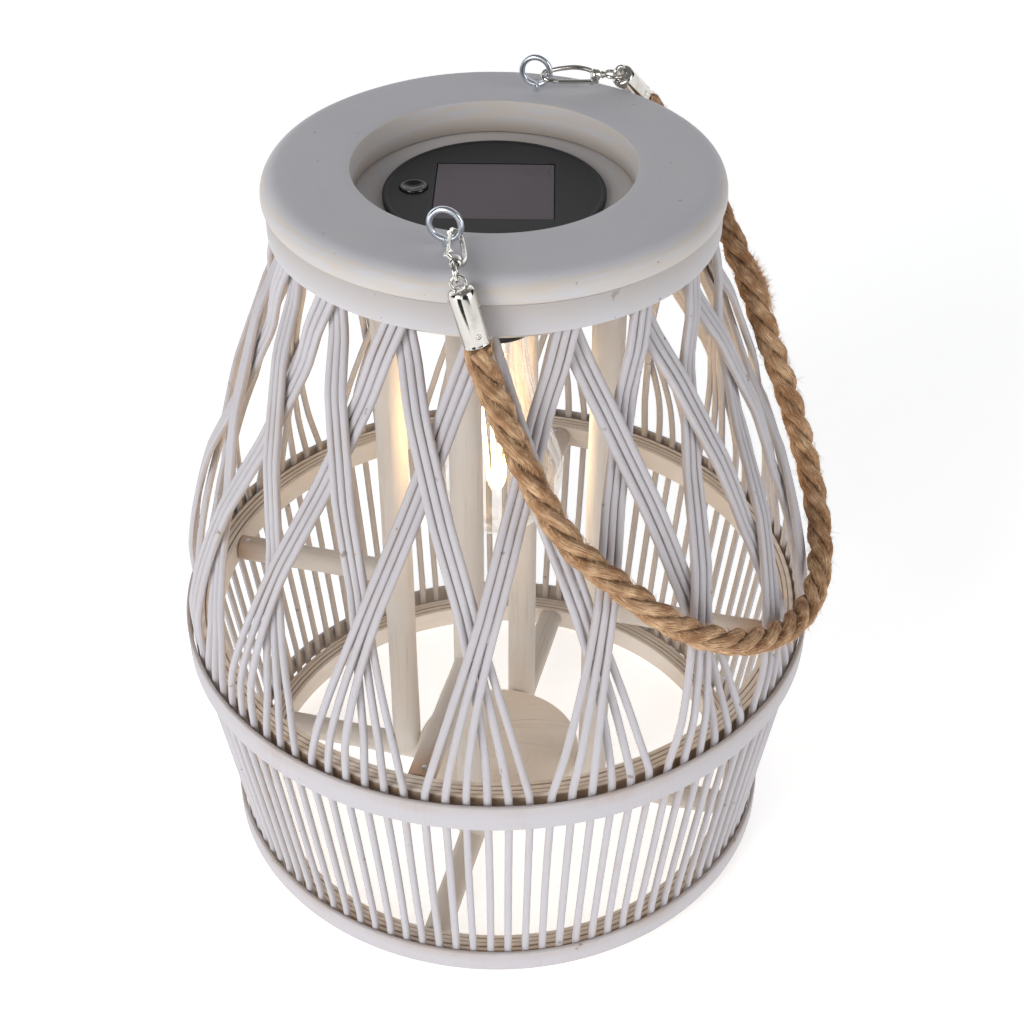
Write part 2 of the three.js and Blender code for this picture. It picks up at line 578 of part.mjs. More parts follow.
for (const [end, side, swivel, slide, gateTurn, sleeve] of [
  ['front', -1, FRONT_SWIVEL, FRONT_SLIDE, -1, FRONT_FERRULE],
  ['back', 1, BACK_SWIVEL, BACK_SLIDE, 1, BACK_FERRULE]]) {
  const frame = hookFrame(side, swivel, slide, gateTurn);
  add(`snap_hook_${end}`, geometryOf(hookBody()), nickel, frame);
  add(`hook_gate_${end}`, geometryOf(hookGate()), nickel, frame);

  const hookAlong = new THREE.Vector3(1, 0, 0).applyQuaternion(frame.quaternion);
  const neckStart = frame.position.clone().addScaledVector(hookAlong, HOOK_LENGTH + FIT);
  const linkCentre = neckStart.clone().addScaledVector(hookAlong, 1.75 + LINK_R);
  const [from, to] = sleeve.map((point) => new THREE.Vector3(...point));
  const sleeveAlong = to.clone().sub(from).normalize();
  const stapleCentre = from.clone().addScaledVector(sleeveAlong, -STAPLE_RISE);
  const between = stapleCentre.clone().sub(linkCentre).normalize();
  const linkAxis = hookAlong.clone().cross(between).normalize();
  const stapleAxis = linkAxis.clone().cross(between).normalize();
  add(`swivel_link_${end}`, geometryOf(swivelLink(neckStart, hookAlong, linkCentre, linkAxis)), nickel);
  add(`ferrule_${end}`, geometryOf(ferrule(from, to, sleeveAlong, stapleCentre, stapleAxis)), nickel);
}

// ---- rope ----
const ropePath = new THREE.CatmullRomCurve3(ROPE_ROUTE.map((p) => new THREE.Vector3(...p)), false,
  'centripetal');
add('handle_rope', geometryOf(sweep(ropePath, roundSection(ROPE_R, 8), 30)), jute);

export default lantern;
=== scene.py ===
"""A hanging solar lantern: a woven, white-washed cane basket, a painted wooden top ring with a solar
lamp in it, and a jute rope handle on two snap hooks. Lengths are written in millimetres and scaled."""

import math
import random

import bpy
import numpy as np
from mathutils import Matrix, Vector


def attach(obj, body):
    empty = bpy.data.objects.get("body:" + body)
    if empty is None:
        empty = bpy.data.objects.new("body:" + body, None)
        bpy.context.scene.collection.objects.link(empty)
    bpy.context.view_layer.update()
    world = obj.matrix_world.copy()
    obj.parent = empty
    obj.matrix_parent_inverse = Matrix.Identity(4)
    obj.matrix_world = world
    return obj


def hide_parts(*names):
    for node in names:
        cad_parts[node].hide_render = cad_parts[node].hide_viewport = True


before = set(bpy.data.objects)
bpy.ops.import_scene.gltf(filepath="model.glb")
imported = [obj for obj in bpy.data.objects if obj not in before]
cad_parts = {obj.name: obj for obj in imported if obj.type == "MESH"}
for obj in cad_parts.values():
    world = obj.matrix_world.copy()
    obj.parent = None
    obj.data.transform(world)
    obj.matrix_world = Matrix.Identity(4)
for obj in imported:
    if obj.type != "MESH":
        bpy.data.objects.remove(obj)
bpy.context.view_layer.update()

MM = 0.001
TAU = 2 * math.pi
SMOOTH_SIDES = 160
SHARP_EDGE = math.radians(38)

# ---- sizes that the basket's CAD solids were made to, in millimetres ----
GROUPS = 17
STICKS_PER_GROUP = 6
STICK_PITCH = 360 / (GROUPS * STICKS_PER_GROUP)
BUNDLE_PITCH = 3.36
FIRST_GROUP_AZ = -78.6
LAYER = 2.05
STICK = 3.4
WEAVE_FOOT_Z = 126
WEAVE_TOP_Z = 310
STICK_TOP_Z = 318.5
STICK_LOW_Z = 6.8
BASKET_PROFILE = (136.3, 134.6, 98, 82.6)
BOTTOM_STICK_R = 122.65
MID_STICK_R = 136.3
WEAVE_TWIST = 26.5
WEAVE_TWIST_EASE = 0.36
TIGHT_Z = 206
FAN_CLOSING = 1.6
BOTTOM_BAND = (6, 17)
MID_BAND = (112, 125)
HOOP_THICK = 9
BOARD_R = 89.8
BOARD_HOLE_R = 55
TOP_FACE_Z = 333
EYE_CENTRE_Z = 341.5
EYE_PLACE_R = 67
EYE_RING_R = 5.8
ROPE_D = 11
ROPE_LAY = 40
ROPE_ROUTE = [
    (19.2, -95.7, 311.8), (21.5, -96, 303), (26.2, -95.7, 289.3), (38.6, -100.7, 264.6),
    (55, -103.9, 238.7), (74.2, -100.7, 218.6), (96.6, -91.5, 195.6), (118.3, -72.4, 176.3),
    (135.8, -41.6, 162.3), (142.5, -9.1, 158.6), (139.8, 19.2, 166.3), (131.7, 33.3, 186.3),
    (119.2, 39.1, 218), (107.2, 39.1, 248), (93.7, 43.4, 277.2), (76.7, 62.7, 295),
    (67, 75.5, 298.5), (58.5, 87, 301.5), (50.5, 97.5, 306.5), (43.8, 102.2, 313), (39, 96.7, 321.5),
]
FRONT_SWIVEL = (9.5, -87.6, 338.2)
BACK_SWIVEL = (28.1, 78.9, 338)
FRONT_FERRULE = ((12.7, -93.5, 332.6), (19, -95.6, 312.6))
BACK_FERRULE = ((32.3, 84.1, 336.2), (38.6, 95.9, 322.4))
HOOK_NECK = 21.85
LINK_OFFSET = 4.95
STAPLE_OUT = 2
FERRULE_R = 4.9
LINK_WIRE_R = 0.7
POST_PLACE_R = 47.2
MODULE_TURN = math.radians(13)
BUTTON_PLACE = (-31.4, 2, 0)
BULB_R = 29
BULB_CENTRE_Z = 188
FILAMENT_FOOT = (3.4, 182)
FILAMENT_HEAD = (6.4, 222)

# ---- how finely things are drawn ----
STRAND_SIDES = 14
ROPE_STEPS = 420
STICK_SIDES = 10
BAND_SIDES = 240
HOOP_SIDES = 200
BOARD_SIDES = 220
POLE_SIDES = 32
POLE_STEPS = 26

# ---- the rope's loose fibres ----
HAIRS = 5200
LONG_HAIR_SHARE = 0.12
HAIR_ROOT_R = 4.7
HAIR_TAPER = (1, 1, 0.8, 0.6, 0.3)
TUFT_HAIRS = 420
TUFT_STEP = 329
TUFT_SPREAD = 6
TUFT_ROOT_R = 4.4

# ---- camera and light ----
CAMERA_PLACE = (0.1562, -0.5829, 0.63375)
CAMERA_LOOK_DOWN = 0.662
CAMERA_TURN = math.radians(15) - 0.0112
HORIZON_LIGHT = 1.55
OVERHEAD_LIGHT = 0.20
FLOOR_GLOW = 0.54


# ---- camera ----
def make_camera():
    data = bpy.data.cameras.new("camera")
    data.sensor_width = 36
    data.lens = 60.8
    data.clip_start = 0.01
    camera = bpy.data.objects.new("camera", data)
    bpy.context.scene.collection.objects.link(camera)
    camera.location = CAMERA_PLACE
    camera.rotation_euler = (math.radians(90) - CAMERA_LOOK_DOWN, 0, CAMERA_TURN)
    bpy.context.scene.camera = camera


make_camera()


# ---- meshes ----
def mesh_object(name, verts, faces, material, uvs=None, values=None, smooth=True):
    """A mesh in millimetres. uvs is one pair per vertex, and values maps attribute names to one
    number per vertex."""
    mesh = bpy.data.meshes.new(name)
    mesh.from_pydata([tuple(v) for v in np.asarray(verts, float) * MM], [], faces)
    mesh.validate()
    if uvs is not None:
        layer = mesh.uv_layers.new(name="UVMap")
        index = np.zeros(len(mesh.loops), int)
        mesh.loops.foreach_get("vertex_index", index)
        layer.data.foreach_set("uv", np.asarray(uvs, float)[index].ravel())
    for key, numbers in (values or {}).items():
        attribute = mesh.attributes.new(key, "FLOAT", "POINT")
        attribute.data.foreach_set("value", np.asarray(numbers, np.float32))
    mesh.polygons.foreach_set("use_smooth", [smooth] * len(mesh.polygons))
    if smooth:
        mesh.set_sharp_from_angle(angle=SHARP_EDGE)
    mesh.materials.append(material)
    obj = bpy.data.objects.new(name, mesh)
    bpy.context.scene.collection.objects.link(obj)
    return obj


def place(obj, body, slot, *nodes):
    """The piece rides on a body and stands for CAD nodes, whose solids are hidden. slot is not used."""
    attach(obj, body)
    if nodes:
        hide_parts(*nodes)
    return obj


def polar(r, angle, z):
    return r * math.cos(angle), r * math.sin(angle), z


class Build:
    """Collects vertices and faces of several shells into one mesh."""

    def __init__(self):
        self.verts = []
        self.faces = []
        self.uvs = []
        self.values = {}

    def shell(self, verts, faces, uvs, **values):
        start = len(self.verts)
        self.verts.extend(verts)
        self.faces.extend([tuple(start + i for i in face) for face in faces])
        self.uvs.extend(uvs)
        for key, numbers in values.items():
            self.values.setdefault(key, []).extend(numbers)

    def turned(self, profile, sides=SMOOTH_SIDES, wobble=None):
        """A turned surface about +Z. wobble(angle) gives small offsets (dr, dz)."""
        verts, uvs, faces = [], [], []
        count = len(profile)
        walked = 0
        for i, (r, z) in enumerate(profile):
            if i:
                walked += math.dist(profile[i - 1], (r, z))
            for k in range(sides):
                angle = TAU * k / sides
                dr, dz = wobble(angle) if wobble else (0, 0)
                verts.append(polar(r + dr, angle, z + dz))
                uvs.append((angle * max(r, 1) * MM, walked * MM))
        for i in range(count - 1):
            for k in range(sides):
                n = (k + 1) % sides
                faces.append((i * sides + k, i * sides + n, (i + 1) * sides + n, (i + 1) * sides + k))
        self.shell(verts, faces, uvs)

    def swept(self, points, radii, sides=12, capped=True):
        """A tube along points. radii is a number or one per point."""
        points = np.asarray(points, float)
        count = len(points)
        radii = np.broadcast_to(np.asarray(radii, float), (count,))
        normals, binormals, _ = carried_frames(points)
        steps = np.r_[0, np.cumsum(np.linalg.norm(np.diff(points, axis=0), axis=1))]
        verts, uvs, faces = [], [], []
        for i in range(count):
            for k in range(sides):
                angle = TAU * k / sides
                out = math.cos(angle) * normals[i] + math.sin(angle) * binormals[i]
                verts.append(points[i] + radii[i] * out)
                uvs.append((k / sides * TAU * radii[i] * MM, steps[i] * MM))
        for i in range(count - 1):
            for k in range(sides):
                n = (k + 1) % sides
                faces.append((i * sides + k, i * sides + n, (i + 1) * sides + n, (i + 1) * sides + k))
        if capped:
            faces.append(tuple(range(sides - 1, -1, -1)))
            faces.append(tuple((count - 1) * sides + k for k in range(sides)))
        self.shell(verts, faces, uvs)

    def object(self, name, material, smooth=True):
        return mesh_object(name, self.verts, self.faces, material, self.uvs, self.values, smooth)


def carried_frames(points):
    """Normals, binormals and tangents carried along a line without twist."""
    points = np.asarray(points, float)
    tangents = np.gradient(points, axis=0)
    tangents /= np.linalg.norm(tangents, axis=1)[:, None]
    first = np.array([0.0, 0.0, 1.0]) if abs(tangents[0][2]) < 0.9 else np.array([1.0, 0.0, 0.0])
    normal = np.cross(tangents[0], first)
    normals = []
    for tangent in tangents:
        normal = normal - tangent * np.dot(normal, tangent)
        normal = normal / np.linalg.norm(normal)
        normals.append(normal)
    normals = np.array(normals)
    return normals, np.cross(tangents, normals), tangents


def smooth_line(points, count):
    """A centripetal Catmull-Rom line through points, sampled evenly."""
    span_steps = 24
    p = [np.asarray(q, float) for q in points]
    p = [2 * p[0] - p[1]] + p + [2 * p[-1] - p[-2]]
    fine = []
    for i in range(1, len(p) - 2):
        t = [0.0]
        for a, b in ((i - 1, i), (i, i + 1), (i + 1, i + 2)):
            t.append(t[-1] + math.sqrt(np.linalg.norm(p[b] - p[a])))
        for s in np.linspace(t[1], t[2], span_steps, endpoint=i == len(p) - 3):
            a1 = (t[1] - s) / (t[1] - t[0]) * p[i - 1] + (s - t[0]) / (t[1] - t[0]) * p[i]
            a2 = (t[2] - s) / (t[2] - t[1]) * p[i] + (s - t[1]) / (t[2] - t[1]) * p[i + 1]
            a3 = (t[3] - s) / (t[3] - t[2]) * p[i + 1] + (s - t[2]) / (t[3] - t[2]) * p[i + 2]
            b1 = (t[2] - s) / (t[2] - t[0]) * a1 + (s - t[0]) / (t[2] - t[0]) * a2
            b2 = (t[3] - s) / (t[3] - t[1]) * a2 + (s - t[1]) / (t[3] - t[1]) * a3
            fine.append((t[2] - s) / (t[2] - t[1]) * b1 + (s - t[1]) / (t[2] - t[1]) * b2)
    fine = np.array(fine)
    walked = np.r_[0, np.cumsum(np.linalg.norm(np.diff(fine, axis=0), axis=1))]
    even = np.linspace(0, walked[-1], count)
    return np.stack([np.interp(even, walked, fine[:, k]) for k in range(3)], axis=1)


# ---- materials ----
class Shader:
    """A material whose nodes are added by short calls; sockets take numbers, colours or links."""

    def __init__(self, name):
        self.material = bpy.data.materials.new(name)
        self.material.use_nodes = True
        self.tree = self.material.node_tree
        self.surface = self.tree.nodes["Principled BSDF"]
        self.output = self.tree.nodes["Material Output"]

    def set(self, node, **sockets):
        for key, value in sockets.items():
            socket = node.inputs[key.replace("_", " ")]
            if isinstance(value, bpy.types.NodeSocket):
                self.tree.links.new(value, socket)
            elif isinstance(value, tuple) and len(value) == 3 and socket.type == "RGBA":
                socket.default_value = (*value, 1)
            else:
                socket.default_value = value
        return node

    def node(self, kind, **sockets):
        return self.set(self.tree.nodes.new("ShaderNode" + kind), **sockets)

    def finish(self, **sockets):
        self.set(self.surface, **sockets)
        return self.material

    def place(self, scale=(1, 1, 1), source="Object"):
        where = self.node("TexCoord").outputs[source]
        return self.node("Mapping", Vector=where, Scale=scale).outputs["Vector"]

    def noise(self, vector, scale, detail=3.0, roughness=0.55):
        made = self.node("TexNoise", Vector=vector, Scale=scale, Detail=detail, Roughness=roughness)
        return made.outputs["Fac"]

    def value(self, name):
        made = self.node("Attribute")
        made.attribute_name = name
        return made.outputs["Fac"]

    def remap(self, value, low, high, to_low=0.0, to_high=1.0):
        made = self.node("MapRange", Value=value)
        for index, number in enumerate((low, high, to_low, to_high)):
            made.inputs[index + 1].default_value = number
        return made.outputs["Result"]

    def math(self, operation, a, b=0.0):
        made = self.node("Math")
        made.operation = operation
        for index, value in enumerate((a, b)):
            if isinstance(value, bpy.types.NodeSocket):
                self.tree.links.new(value, made.inputs[index])
            else:
                made.inputs[index].default_value = value
        return made.outputs[0]

    def mix(self, share, a, b):
        return self.node("MixRGB", Fac=share, Color1=a, Color2=b).outputs["Color"]

    def bump(self, height, distance, strength=1.0):
        made = self.node("Bump", Height=height, Distance=distance, Strength=strength)
        return made.outputs["Normal"]


COOL_WHITE = (0.51, 0.51, 0.55)
CANE_WHITE = (0.53, 0.51, 0.535)
WARM_WHITE = (0.60, 0.53, 0.465)
RAW_CANE = (0.70, 0.59, 0.48)
DARK_CANE = (0.17, 0.105, 0.065)


def cane_paint():
    """White-wash on split cane: cool outside, warm and thin inside, brown where sticks touch, which is
    painted shade and also unpainted cane.
    """
    s = Shader("painted_cane")
    along = s.place((900, 26, 1), "UV")
    inside = s.remap(s.value("inside"), 0.1, 0.8)
    grain = s.noise(along, 1.0, 4)
    patches = s.noise(s.place(), 38.0, 3)
    blotch = s.math("ADD", s.math("MULTIPLY", grain, 0.5), s.math("MULTIPLY", patches, 0.5))
    thin = s.remap(blotch, 0.53, 0.75)
    white = s.mix(inside, CANE_WHITE, WARM_WHITE)
    washed = s.mix(s.math("MULTIPLY", thin, 0.6), white, (0.50, 0.42, 0.36))
    # Painted shade between touching sticks, which also stands for unpainted cane there, broken up by the
    # patches.
    shade_and_unpainted = s.remap(s.value("crevice"), 0.35, 1.0)
    patchy_shade_and_unpainted = s.math("MULTIPLY", shade_and_unpainted, s.remap(patches, 0.36, 0.62, 0.35, 0.95))
    shaded = s.mix(patchy_shade_and_unpainted, washed, (0.40, 0.315, 0.26))
    spots = s.remap(s.noise(s.place(), 150.0, 2, 0.6), 0.70, 0.76)
    spotted = s.mix(s.math("MULTIPLY", spots, 0.6), shaded, DARK_CANE)
    normal = s.bump(grain, 0.0002, 0.5)
    s.set(s.surface, Specular_IOR_Level=0.35)
    return s.finish(Base_Color=spotted, Roughness=s.remap(grain, 0.3, 0.7, 0.6, 0.8), Normal=normal)


def board_paint():
    """Brushed white paint over turned wood, scuffed to a warmer tone on the lower edge, with painted shade
    on faces that lie under or behind other parts.
    """
    s = Shader("painted_wood")
    strokes = s.noise(s.place((45, 330, 1), "UV"), 1.0, 5, 0.65)
    cloud = s.noise(s.place(), 24.0, 5)
    tone = s.mix(s.remap(cloud, 0.35, 0.68), COOL_WHITE, (0.535, 0.535, 0.565))
    scuffed = s.math("MULTIPLY", s.value("scuff"), s.remap(strokes, 0.33, 0.60))
    warm = s.mix(scuffed, tone, (0.555, 0.495, 0.435))
    fine = s.noise(s.place((60, 1600, 1), "UV"), 1.0, 3, 0.6)
    marked = s.mix(s.remap(fine, 0.66, 0.78, 0.0, 0.30), warm, (0.42, 0.34, 0.28))
    nicks = s.remap(s.noise(s.place(), 210.0, 2, 0.5), 0.735, 0.765)
    worn = s.mix(s.math("MULTIPLY", nicks, 0.5), marked, DARK_CANE)
    # Painted shade under the board and in the rebate corner.
    under_shade = s.mix(s.value("crevice"), worn, (0.27, 0.215, 0.17))
    normal = s.bump(strokes, 0.0003, 0.35)
    return s.finish(Base_Color=under_shade, Roughness=0.55, Normal=normal)


def laminate():
    """Raw laminated cane of the inner hoops: layers with dark glue lines and traces of white."""
    s = Shader("raw_cane")
    grain = s.noise(s.place((30, 900, 1), "UV"), 1.0, 4)
    patches = s.noise(s.place(), 30.0, 4)
    tone = s.mix(s.remap(grain, 0.3, 0.7), RAW_CANE, (0.78, 0.69, 0.59))
    wash = s.mix(s.remap(patches, 0.38, 0.62, 0.25, 0.85), tone, (0.80, 0.74, 0.68))
    lines = s.mix(s.value("crevice"), wash, (0.38, 0.26, 0.17))
    return s.finish(Base_Color=lines, Roughness=0.6, Normal=s.bump(grain, 0.0002, 0.5))


def pole_paint(name, light):
    """Thin white-wash on poles and plate: warm, with long grain and a few stains."""
    s = Shader(name)
    grain = s.noise(s.place((500, 22, 1), "UV"), 1.0, 4)
    patches = s.noise(s.place(), 22.0, 4)
    clean = (light, light * 0.94, light * 0.87)
    thin = (light, light * 0.895, light * 0.79)
    tone = s.mix(s.remap(patches, 0.35, 0.65), clean, thin)
    streak = s.mix(s.remap(grain, 0.56, 0.74, 0.0, 0.45), tone, (0.50, 0.41, 0.33))
    stained = s.math("MULTIPLY", s.value("crevice"), s.remap(patches, 0.3, 0.6, 0.4, 1.0))
    stain = s.mix(stained, streak, (0.42, 0.20, 0.07))
    return s.finish(Base_Color=stain, Roughness=0.6, Normal=s.bump(grain, 0.0002, 0.4))


def jute():
    """Jute strands: fine twisted yarn lines with golden and brown fibres."""
    s = Shader("jute")
    yarn = s.noise(s.place((2300, 150, 1), "UV"), 1.0, 4, 0.6)
    clump = s.noise(s.place(), 130.0, 4)
    tone = s.mix(s.remap(clump, 0.38, 0.62), (0.40, 0.20, 0.085), (0.82, 0.55, 0.32))
    fibre = s.mix(s.remap(yarn, 0.36, 0.60), (0.27, 0.135, 0.065), tone)
    light = s.mix(s.remap(yarn, 0.56, 0.72, 0.0, 0.6), fibre, (0.90, 0.68, 0.44))
    # Painted shade low in the grooves between the strands.
    groove_shade = s.mix(s.value("crevice"), light, (0.11, 0.055, 0.026))
    return s.finish(Base_Color=groove_shade, Roughness=0.85, Normal=s.bump(yarn, 0.0008, 1.0))


def hair():
    s = Shader("jute_hair")
    tone = s.mix(s.noise(s.place(), 260.0, 2), (0.42, 0.215, 0.095), (0.88, 0.62, 0.37))
    return s.finish(Base_Color=tone, Roughness=0.8)


def metal(name, color, roughness, wear):
    s = Shader(name)
    smear = s.noise(s.place(), 150.0, 3)
    tone = s.mix(s.remap(smear, 0.5, 0.8, 0.0, wear), color, (0.26, 0.20, 0.14))
    rough = s.remap(smear, 0.3, 0.7, roughness * 0.8, roughness * 1.3)
    return s.finish(Base_Color=tone, Metallic=1.0, Roughness=rough)


def plastic(name, color, roughness, pebble=0.0):
    s = Shader(name)
    if pebble:
        s.set(s.surface, Normal=s.bump(s.noise(s.place(), 2600.0, 2), 0.0001, pebble))
    return s.finish(Base_Color=color, Roughness=roughness)


def solar_cell():
    """Dark purple-brown cells with fine contact lines, under a glossy clear layer."""
    s = Shader("solar_cell")
    turned = s.node("Mapping", Vector=s.node("TexCoord").outputs["Object"])
    turned.inputs["Rotation"].default_value = (0, 0, -MODULE_TURN)
    split = s.node("SeparateXYZ", Vector=turned.outputs["Vector"])
    wave = s.math("FRACT", s.math("MULTIPLY", split.outputs["Y"], 1 / 0.0019))
    line = s.remap(s.math("ABSOLUTE", s.math("SUBTRACT", wave, 0.5)), 0.0, 0.13, 1.0, 0.0)
    tone = s.mix(s.noise(s.place(), 60.0, 2), (0.036, 0.020, 0.032), (0.058, 0.034, 0.050))
    drawn = s.mix(s.math("MULTIPLY", line, 0.3), tone, (0.17, 0.13, 0.15))
    s.set(s.surface, Coat_Weight=0.12, Coat_Roughness=0.03, Specular_IOR_Level=0.35)
    return s.finish(Base_Color=drawn, Roughness=0.35)


def thin_glass():
    """Clear thin glass: light goes straight through, with a mirror share that grows at the edge."""
    s = Shader("clear_glass")
    clear = s.node("BsdfTransparent", Color=(0.97, 0.955, 0.93))
    shine = s.node("BsdfGlossy", Color=(1, 1, 1), Roughness=0.02)
    facing = s.node("LayerWeight", Blend=0.22)
    share = s.remap(facing.outputs["Facing"], 0.0, 1.0, 0.05, 0.85)
    mixed = s.node("MixShader", Fac=share)
    s.tree.links.new(clear.outputs[0], mixed.inputs[1])
    s.tree.links.new(shine.outputs[0], mixed.inputs[2])
    s.tree.links.new(mixed.outputs[0], s.output.inputs["Surface"])
    return s.material


def glow(name, color, strength):
    s = Shader(name)
    return s.finish(Base_Color=color, Emission_Color=color, Emission_Strength=strength)


CANE = cane_paint()
BOARD = board_paint()
LAMINATE = laminate()
POLE = pole_paint("pale_pole", 0.66)
# A lighter copy of the pole paint for the plate: partly its paler paint, partly painted light for its flat
# top under the overhead light.
LIT_PLATE = pole_paint("pale_lit_plate", 0.82)
JUTE = jute()
HAIR = hair()
NICKEL = metal("nickel", (0.66, 0.635, 0.59), 0.13, 0.4)
ZINC = metal("zinc", (0.66, 0.70, 0.76), 0.24, 0.25)
BLACK = plastic("black_plastic", (0.013, 0.012, 0.0135), 0.58, 0.5)
GLOSS_BLACK = plastic("gloss_black", (0.006, 0.006, 0.007), 0.12)
CELL = solar_cell()
GREEN = plastic("circuit_board", (0.02, 0.12, 0.04), 0.45)
WRAP = plastic("battery_wrap", (0.08, 0.22, 0.09), 0.35)
GLASS = thin_glass()
FILAMENT = glow("warm_light", (1.0, 0.66, 0.30), 14.0)


# ---- rope handle ----
def rope_strand(build, line, normals, binormals, turn):
    """One of the three strands, wound to the left round the rope's line, with painted shade where it lies
    low in the grooves.
    """
    radius = ROPE_D / 2
    strand_r = radius * 0.49
    groove_from = radius * 0.80
    groove_depth = radius * 0.42
    walked = np.r_[0, np.cumsum(np.linalg.norm(np.diff(line, axis=0), axis=1))]
    angles = -TAU * walked / ROPE_LAY + turn
    out = np.cos(angles)[:, None] * normals + np.sin(angles)[:, None] * binormals
    path = line + (radius - strand_r) * out
    start = len(build.verts)
    swell = strand_r * (1 + 0.05 * np.sin(walked * 0.9 + turn * 5) + 0.03 * np.sin(walked * 2.3 + turn))
    build.swept(path, swell, sides=STRAND_SIDES)
    made = np.array(build.verts[start:])
    rows = np.repeat(line, STRAND_SIDES, axis=0)
    from_middle = np.linalg.norm(made - rows, axis=1)
    # How far the strand's surface lies in the grooves, for painted shade there.
    groove_shade = np.clip((groove_from - from_middle) / groove_depth, 0, 1)
    build.values.setdefault("crevice", []).extend(groove_shade.tolist())


def rope():
    line = smooth_line(ROPE_ROUTE, ROPE_STEPS)
    normals, binormals, _ = carried_frames(line)
    build = Build()
    for strand in range(3):
        rope_strand(build, line, normals, binormals, TAU * strand / 3)
    made = build.object("rope", JUTE)
    return place(made, "handle", "jute", "handle_rope"), line


def one_hair(build, rng, root, along, out, length, thickness):
    """A curved, tapered hair of a few short pieces that leaves the rope at a slant."""
    pieces = len(HAIR_TAPER) - 1
    side = np.cross(along, out)
    lean = rng.choice((-1, 1)) * rng.uniform(0.5, 1.3)
    heading = out * rng.uniform(0.25, 0.9) + along * lean + side * rng.uniform(-0.7, 0.7)
    heading /= np.linalg.norm(heading)
    curl = np.array([rng.uniform(-1, 1) for _ in range(3)]) * 0.22
    points = [root - out * 0.25]
    for _ in range(pieces):
        points.append(points[-1] + heading * length / pieces)
        heading = heading + curl
        heading /= np.linalg.norm(heading)
    build.swept(points, [thickness * share for share in HAIR_TAPER], sides=3, capped=False)


def rope_fuzz(line):
    """Loose fibres that stand off the rope, with a frayed tuft behind the upper bend."""
    rng = random.Random(7)
    normals, binormals, tangents = carried_frames(line)
    build = Build()
    for _ in range(HAIRS):
        i = rng.randrange(len(line))
        angle = rng.uniform(0, TAU)
        out = math.cos(angle) * normals[i] + math.sin(angle) * binormals[i]
        long_one = rng.random() < LONG_HAIR_SHARE
        length = rng.uniform(3.5, 6.5) if long_one else rng.uniform(1.2, 3.2)
        root = line[i] + out * HAIR_ROOT_R
        one_hair(build, rng, root, tangents[i], out, length, rng.uniform(0.06, 0.115))
    for _ in range(TUFT_HAIRS):
        i = TUFT_STEP + rng.randint(-TUFT_SPREAD, TUFT_SPREAD)
        out = line[i] * np.array([1, 1, 0.0])
        out = out / np.linalg.norm(out) + np.array([rng.uniform(-0.5, 0.5) for _ in range(3)])
        out /= np.linalg.norm(out)
        root = line[i] + out * TUFT_ROOT_R
        one_hair(build, rng, root, tangents[i], out, rng.uniform(3.0, 6.5), 0.15)
    return place(build.object("rope_fuzz", HAIR), "handle", "jute")


rope_piece, rope_line = rope()
fuzz_piece = rope_fuzz(rope_line)


# ---- hooks, links and ferrules ----
def hook_place(side, swivel, slide_degrees, gate_turn):
    """Where a snap hook hangs: its origin on the eye's wire, and its directions along to the
    swivel, across and towards its gate."""
    slide = math.radians(slide_degrees)
    radial = Vector((math.sin(slide), 0, -math.cos(slide)))
    origin = Vector((0, side * EYE_PLACE_R, EYE_CENTRE_Z)) + radial * EYE_RING_R
    along = (Vector(swivel) - origin).normalized()
    gate = (radial - along * radial.dot(along)).normalized() * gate_turn
    across = gate.cross(along)
    return origin, along, across, gate


def in_hook(at, points):
    origin, along, across, gate = at
    return [origin + along * x + across * y + gate * z for x, y, z in points]


def snap_hook(end, at):
    wire = Build()
    bend = [(2.5, 0, 3.3), (1, 0, 2.75), (-1.6, 0, 2.2), (-2.75, 0, 0), (-1.6, 0, -2.2), (1, 0, -2.9),
            (6, 0, -3.9), (12, 0, -4.3), (17, 0, -3), (20.4, 0, -0.6)]
    wire.swept(smooth_line(in_hook(at, bend), 60), 1.0, sides=14)
    boss = smooth_line(in_hook(at, [(17.9, 0, 0), (19, 0, 0), (20.5, 0, 0), (21.5, 0, 0)]), 10)
    wire.swept(boss, [1.9, 2.35, 2.5, 2.5, 2.45, 2.4, 2.35, 2.3, 2.2, 1.7], sides=20)
    wire.swept(in_hook(at, [(19.2, 0, 1.2), (19.2, 0, 4.2)]), 1.0, sides=12)
    return place(wire.object(f"hook_{end}", NICKEL), "handle", "nickel", f"snap_hook_{end}")


def gate(end, at):
    wire = Build()
    wire.swept(smooth_line(in_hook(at, [(3.2, 0, 3.3), (10, 0, 3.55), (17.6, 0, 3.6)]), 16), 0.85, sides=12)
    wire.swept(in_hook(at, [(17.6, -1.5, 3.6), (17.6, 1.5, 3.6)]), 0.8, sides=12)
    return place(wire.object(f"gate_{end}", NICKEL), f"gate_{end}", "nickel", f"hook_gate_{end}")


def ring_line(centre, axis, radius, count=40):
    axis = Vector(axis).normalized()
    first = axis.orthogonal().normalized()
    second = axis.cross(first)
    angles = [TAU * i / count for i in range(count + 1)]
    return [centre + first * radius * math.cos(a) + second * radius * math.sin(a) for a in angles]


def link(end, at, staple_centre):
    """The swivel: a neck on the hook's boss and a ring that holds the ferrule's staple."""
    origin, along, _, _ = at
    neck_start = origin + along * HOOK_NECK
    centre = neck_start + along * LINK_OFFSET
    between = (staple_centre - centre).normalized()
    link_axis = along.cross(between).normalized()
    wire = Build()
    neck = [neck_start, neck_start + along * 0.9, neck_start + along * 2.1]
    wire.swept(neck, [1.3, 1.6, 1.1], sides=16)
    wire.swept(ring_line(centre, link_axis, 3.2), LINK_WIRE_R, sides=10, capped=False)
    piece = place(wire.object(f"link_{end}", NICKEL), "handle", "nickel", f"swivel_link_{end}")
    return piece, link_axis.cross(between)


